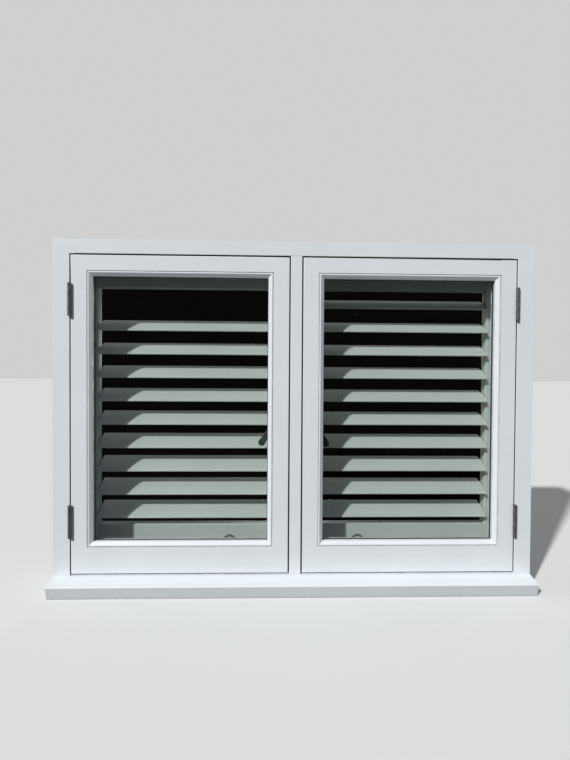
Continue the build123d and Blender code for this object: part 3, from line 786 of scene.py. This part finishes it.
leverValues = {
    "pivotX": 0.0409, "slope": {"left": 57.0, "right": 60.0}, "ease": 0.0009, "blade": 0.0060,
    "neck": 0.0046, "neckAt": 0.014, "grip": 0.0087, "reach": 0.0757, "swell": 0.6, "root": 0.0006, "stations": 16,
    "endArc": 28, "noseAngle": 58.0, "noseFrom": 0.0066, "noseRoot": 0.0050, "noseTip": 0.0030, "noseReach": 0.0190,
    "noseArc": 8, "hub": 0.0085, "hubArc": 16, "hubSides": 48, "hubSetBack": 0.0012, "hubEase": 0.0004,
    "besideGrip": 0.10, "besideNose": 0.12,
    "pinHole": 0.0031, "holeSides": 24, "holeClear": 0.002, "holeEase": 0.0001,
}


def arcPoints(along, radius, first, last, steps):
    # points (along, across) on an arc whose centre lies on the lever's own line
    turns = [first + (last - first) * i / steps for i in range(steps + 1)]
    return [(along + radius * math.cos(turn), radius * math.sin(turn)) for turn in turns]


def discOutline(radius, count):
    return arcPoints(0.0, radius, 0.0, math.tau, count)[:-1]


def leverOutline(values, slope):
    # Points (along, across) right round the lever, its grip along +x.
    def halfWidth(along):
        t = max(0.0, min(1.0, (along - values["neckAt"]) / (values["reach"] - values["neckAt"])))
        return values["neck"] + (values["grip"] - values["neck"]) * t * t * (3 - 2 * t) ** values["swell"]

    hub, quarter = values["hub"], math.pi / 2
    start = math.sqrt(hub ** 2 - values["neck"] ** 2) + values["root"]
    spacing = (values["reach"] - start) / values["stations"]
    edge = [(start + spacing * i, halfWidth(start + spacing * i)) for i in range(values["stations"] + 1)]
    end = arcPoints(values["reach"], values["grip"], -quarter, quarter, values["endArc"])[1:-1]
    grip = [(along, -across) for along, across in edge] + end + edge[::-1]
    nose = [(values["noseFrom"], -values["noseRoot"])]
    nose += arcPoints(values["noseReach"], values["noseTip"], -quarter, quarter, values["noseArc"])
    noseTurn = math.pi + math.radians(values["noseAngle"] + slope)
    c, s = math.cos(noseTurn), math.sin(noseTurn)
    turnedNose = [(x * c - y * s, x * s + y * c) for x, y in nose]
    gripHalf = math.asin(values["neck"] / hub) + values["besideGrip"]
    noseHalf = math.asin(values["noseRoot"] / hub) + values["besideNose"]
    return grip + arcPoints(0.0, hub, gripHalf, noseTurn - noseHalf, values["hubArc"]) + turnedNose


def slabMesh(points, front, back, ease, place):
    # A flat slab on an outline, its front and back edges chamfered by ease.
    inner = []
    for i in range(len(points)):
        before, after = points[i - 1], points[(i + 1) % len(points)]
        dx, dy = after[0] - before[0], after[1] - before[1]
        length = math.hypot(dx, dy) or 1.0
        inner.append((points[i][0] - dy / length * ease, points[i][1] + dx / length * ease))
    layers = ((inner, front), (points, front + ease), (points, back - ease), (inner, back))
    return loftMesh([[place(u, v, y) for u, v in ring] for ring, y in layers])


for side, sign in sides.items():
    values = leverValues
    leverLow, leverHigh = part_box(f"{side}_fastener_lever")
    pivotZ = leverHigh.z - values["hub"]
    slope = values["slope"][side]
    turn = math.radians(-slope)

    def place(u, v, y):
        x = u * math.cos(turn) - v * math.sin(turn)
        return sign * (leverValues["pivotX"] + x), y, pivotZ + u * math.sin(turn) + v * math.cos(turn)

    front, back = leverLow.y, leverHigh.y
    lever = slabMesh(leverOutline(values, slope), back - values["blade"], back, values["ease"], place)
    hubDisc = discOutline(values["hub"], values["hubSides"])
    hubMesh = slabMesh(hubDisc, front, back - values["hubSetBack"], values["hubEase"], place)
    lever = cutAway(lever, hubMesh, "UNION")
    hole, clear = discOutline(values["pinHole"], values["holeSides"]), values["holeClear"]
    lever = cutAway(lever, slabMesh(hole, front - clear, back + clear, values["holeEase"], place))
    lever.materials.clear()
    leverPiece = pieceFrom(f"{side}_paddle_lever", lever, blackIron, f"{side}_fastener")
    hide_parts(f"{side}_fastener_lever")
print("fastener levers made")


# Floor and backdrop

stageValues = {
    "floorSize": 60.0, "floorSeen": (0.80, 0.805, 0.81, 1), "floorBounce": (0.09, 0.09, 0.09, 1),
    "paintedShadeColour": (0.003, 0.003, 0.003, 1), "cardLift": 0.002, "mattRoughness": 0.95,
}
# each card lies on the floor from the first x and y to the second, then stands up there
cardValues = {"x": (-0.82, 0.86), "y": (0.45, 0.80), "top": 1.02}
flagValues = {"x": (4.0, -4.0), "y": (-0.12, -3.2), "top": 4.5}


def mattMaterial(name, colour, bounce=None):
    # bounce: a quieter colour for the light that the sheet throws back on the window
    material, tree, shader = newMaterial(name)
    shader.inputs["Base Color"].default_value = colour
    shader.inputs["Roughness"].default_value = stageValues["mattRoughness"]
    shader.inputs["Specular IOR Level"].default_value = 0.0
    if bounce:
        thrown = addNode(tree, "ShaderNodeLightPath").outputs["Is Diffuse Ray"]
        tree.links.new(mixColour(tree, thrown, colour, bounce), shader.inputs["Base Color"])
    return material


def sheetObject(name, points, faces, material):
    mesh = bpy.data.meshes.new(name)
    mesh.from_pydata(points, [], faces)
    mesh.materials.append(material)
    sheet = bpy.data.objects.new(name, mesh)
    scene.collection.objects.link(sheet)
    return sheet


reach = stageValues["floorSize"] / 2
sheetObject(
    "floor", [(-reach, -reach, 0), (reach, -reach, 0), (reach, reach, 0), (-reach, reach, 0)], [(0, 1, 2, 3)],
    mattMaterial("floorMatt", stageValues["floorSeen"], stageValues["floorBounce"]),
)
paintedShadeMatt = mattMaterial("paintedShadeMatt", stageValues["paintedShadeColour"])


def foldedCard(name, values):
    (x1, x2), (y1, y2), top, low = values["x"], values["y"], values["top"], stageValues["cardLift"]
    card = sheetObject(
        name, [(x1, y1, low), (x2, y1, low), (x2, y2, low), (x1, y2, low), (x2, y2, top), (x1, y2, top)],
        [(0, 1, 2, 3), (3, 2, 4, 5)], paintedShadeMatt,
    )
    # The sheets are seen only by glossy and transmission rays: black painted into what shows through the glass and
    # into what the glass mirrors.
    card.visible_camera = card.visible_shadow = card.visible_diffuse = False


# Painted shade: a black sheet behind the panels, seen only through the glass, stands for the unlit room in the gaps
# between the louvres.
foldedCard("paintedShadeCard", cardValues)  # behind the panels: the gaps between the louvres look into a dark space
# Painted reflection: a black sheet in front, seen only in and through the glass, gives the panes a dark reflection
# instead of the pale studio.
foldedCard("paintedReflectionFlag", flagValues)  # in front, seen only in the glass, which would else mirror the pale studio


# Light

lightValues = {
    "keyDirection": (0.81, 1.0, -0.95), "keyStrength": 3.35, "keySpread": 2.5, "keyColour": (1.0, 1.0, 1.0),
    "rearDirection": (-0.02, -1.0, -0.05), "rearStrength": 1.2, "rearSpread": 4.0,
    "sky": (0.97, 0.99, 1.0, 1), "skyStrength": 0.25, "background": (0.62, 0.625, 0.63, 1), "distance": 2.0,
}


def addLamp(name, kind, place, aim, values):
    data = bpy.data.lights.new(name, kind)
    for key, value in values.items():
        setattr(data, key, value)
    lamp = bpy.data.objects.new(name, data)
    lamp.location = place
    lamp.rotation_mode = "QUATERNION"
    lamp.rotation_quaternion = (Vector(aim) - Vector(place)).to_track_quat("-Z", "Y")
    scene.collection.objects.link(lamp)
    return lamp


middle = (cadBox[0] + cadBox[1]) / 2
addLamp(
    "keyLamp", "SUN", middle - lightValues["distance"] * Vector(lightValues["keyDirection"]), middle,
    {"energy": lightValues["keyStrength"], "angle": math.radians(lightValues["keySpread"]),
     "color": lightValues["keyColour"]},
)
rearLamp = addLamp(
    "rearLamp", "SUN", middle - lightValues["distance"] * Vector(lightValues["rearDirection"]), middle,
    {"energy": lightValues["rearStrength"], "angle": math.radians(lightValues["rearSpread"])},
)
rearLamp.visible_transmission = False  # it stands in line with the camera, behind the glass

world = bpy.data.worlds.new("studio")
scene.world = world
world.use_nodes = True
worldTree = world.node_tree
backgroundNode = worldTree.nodes["Background"]
backgroundNode.inputs["Color"].default_value = lightValues["sky"]
backgroundNode.inputs["Strength"].default_value = lightValues["skyStrength"]
seen = addNode(worldTree, "ShaderNodeBackground", {"Color": lightValues["background"], "Strength": 1.0})
path = addNode(worldTree, "ShaderNodeLightPath")
direct = math2(worldTree, "MAXIMUM", path.outputs["Is Camera Ray"], path.outputs["Is Transmission Ray"])
direct = math2(worldTree, "MAXIMUM", direct, path.outputs["Is Glossy Ray"])
choice = addNode(worldTree, "ShaderNodeMixShader", {0: direct})
worldTree.links.new(backgroundNode.outputs[0], choice.inputs[1])
worldTree.links.new(seen.outputs[0], choice.inputs[2])
worldTree.links.new(choice.outputs[0], worldTree.nodes["World Output"].inputs["Surface"])


# Camera, at the photograph's own viewpoint

cameraValues = {
    "place": (-0.0567, -1.0999, 0.5269), "yaw": 1.586, "pitch": -0.964, "roll": 0.35, "focalPixels": 460.0,
    "imageHeight": 760.0, "sensor": 36.0, "clip": (0.02, 60.0),
}


def placeCamera(values):
    yaw, pitch, roll = (math.radians(values[key]) for key in ("yaw", "pitch", "roll"))
    forward = Vector((math.sin(yaw) * math.cos(pitch), math.cos(yaw) * math.cos(pitch), math.sin(pitch)))
    across = Vector((math.cos(yaw), -math.sin(yaw), 0))
    up = across.cross(forward)
    rolledAcross = across * math.cos(roll) + up * math.sin(roll)
    rolledUp = up * math.cos(roll) - across * math.sin(roll)
    data = bpy.data.cameras.new("camera")
    data.sensor_width = values["sensor"]
    data.lens = values["sensor"] * values["focalPixels"] / values["imageHeight"]
    data.clip_start, data.clip_end = values["clip"]
    camera = bpy.data.objects.new("camera", data)
    turned = Matrix((rolledAcross, rolledUp, -forward)).transposed()
    camera.matrix_world = Matrix.Translation(values["place"]) @ turned.to_4x4()
    scene.collection.objects.link(camera)
    scene.camera = camera


placeCamera(cameraValues)
print("stage, lamps and camera placed")
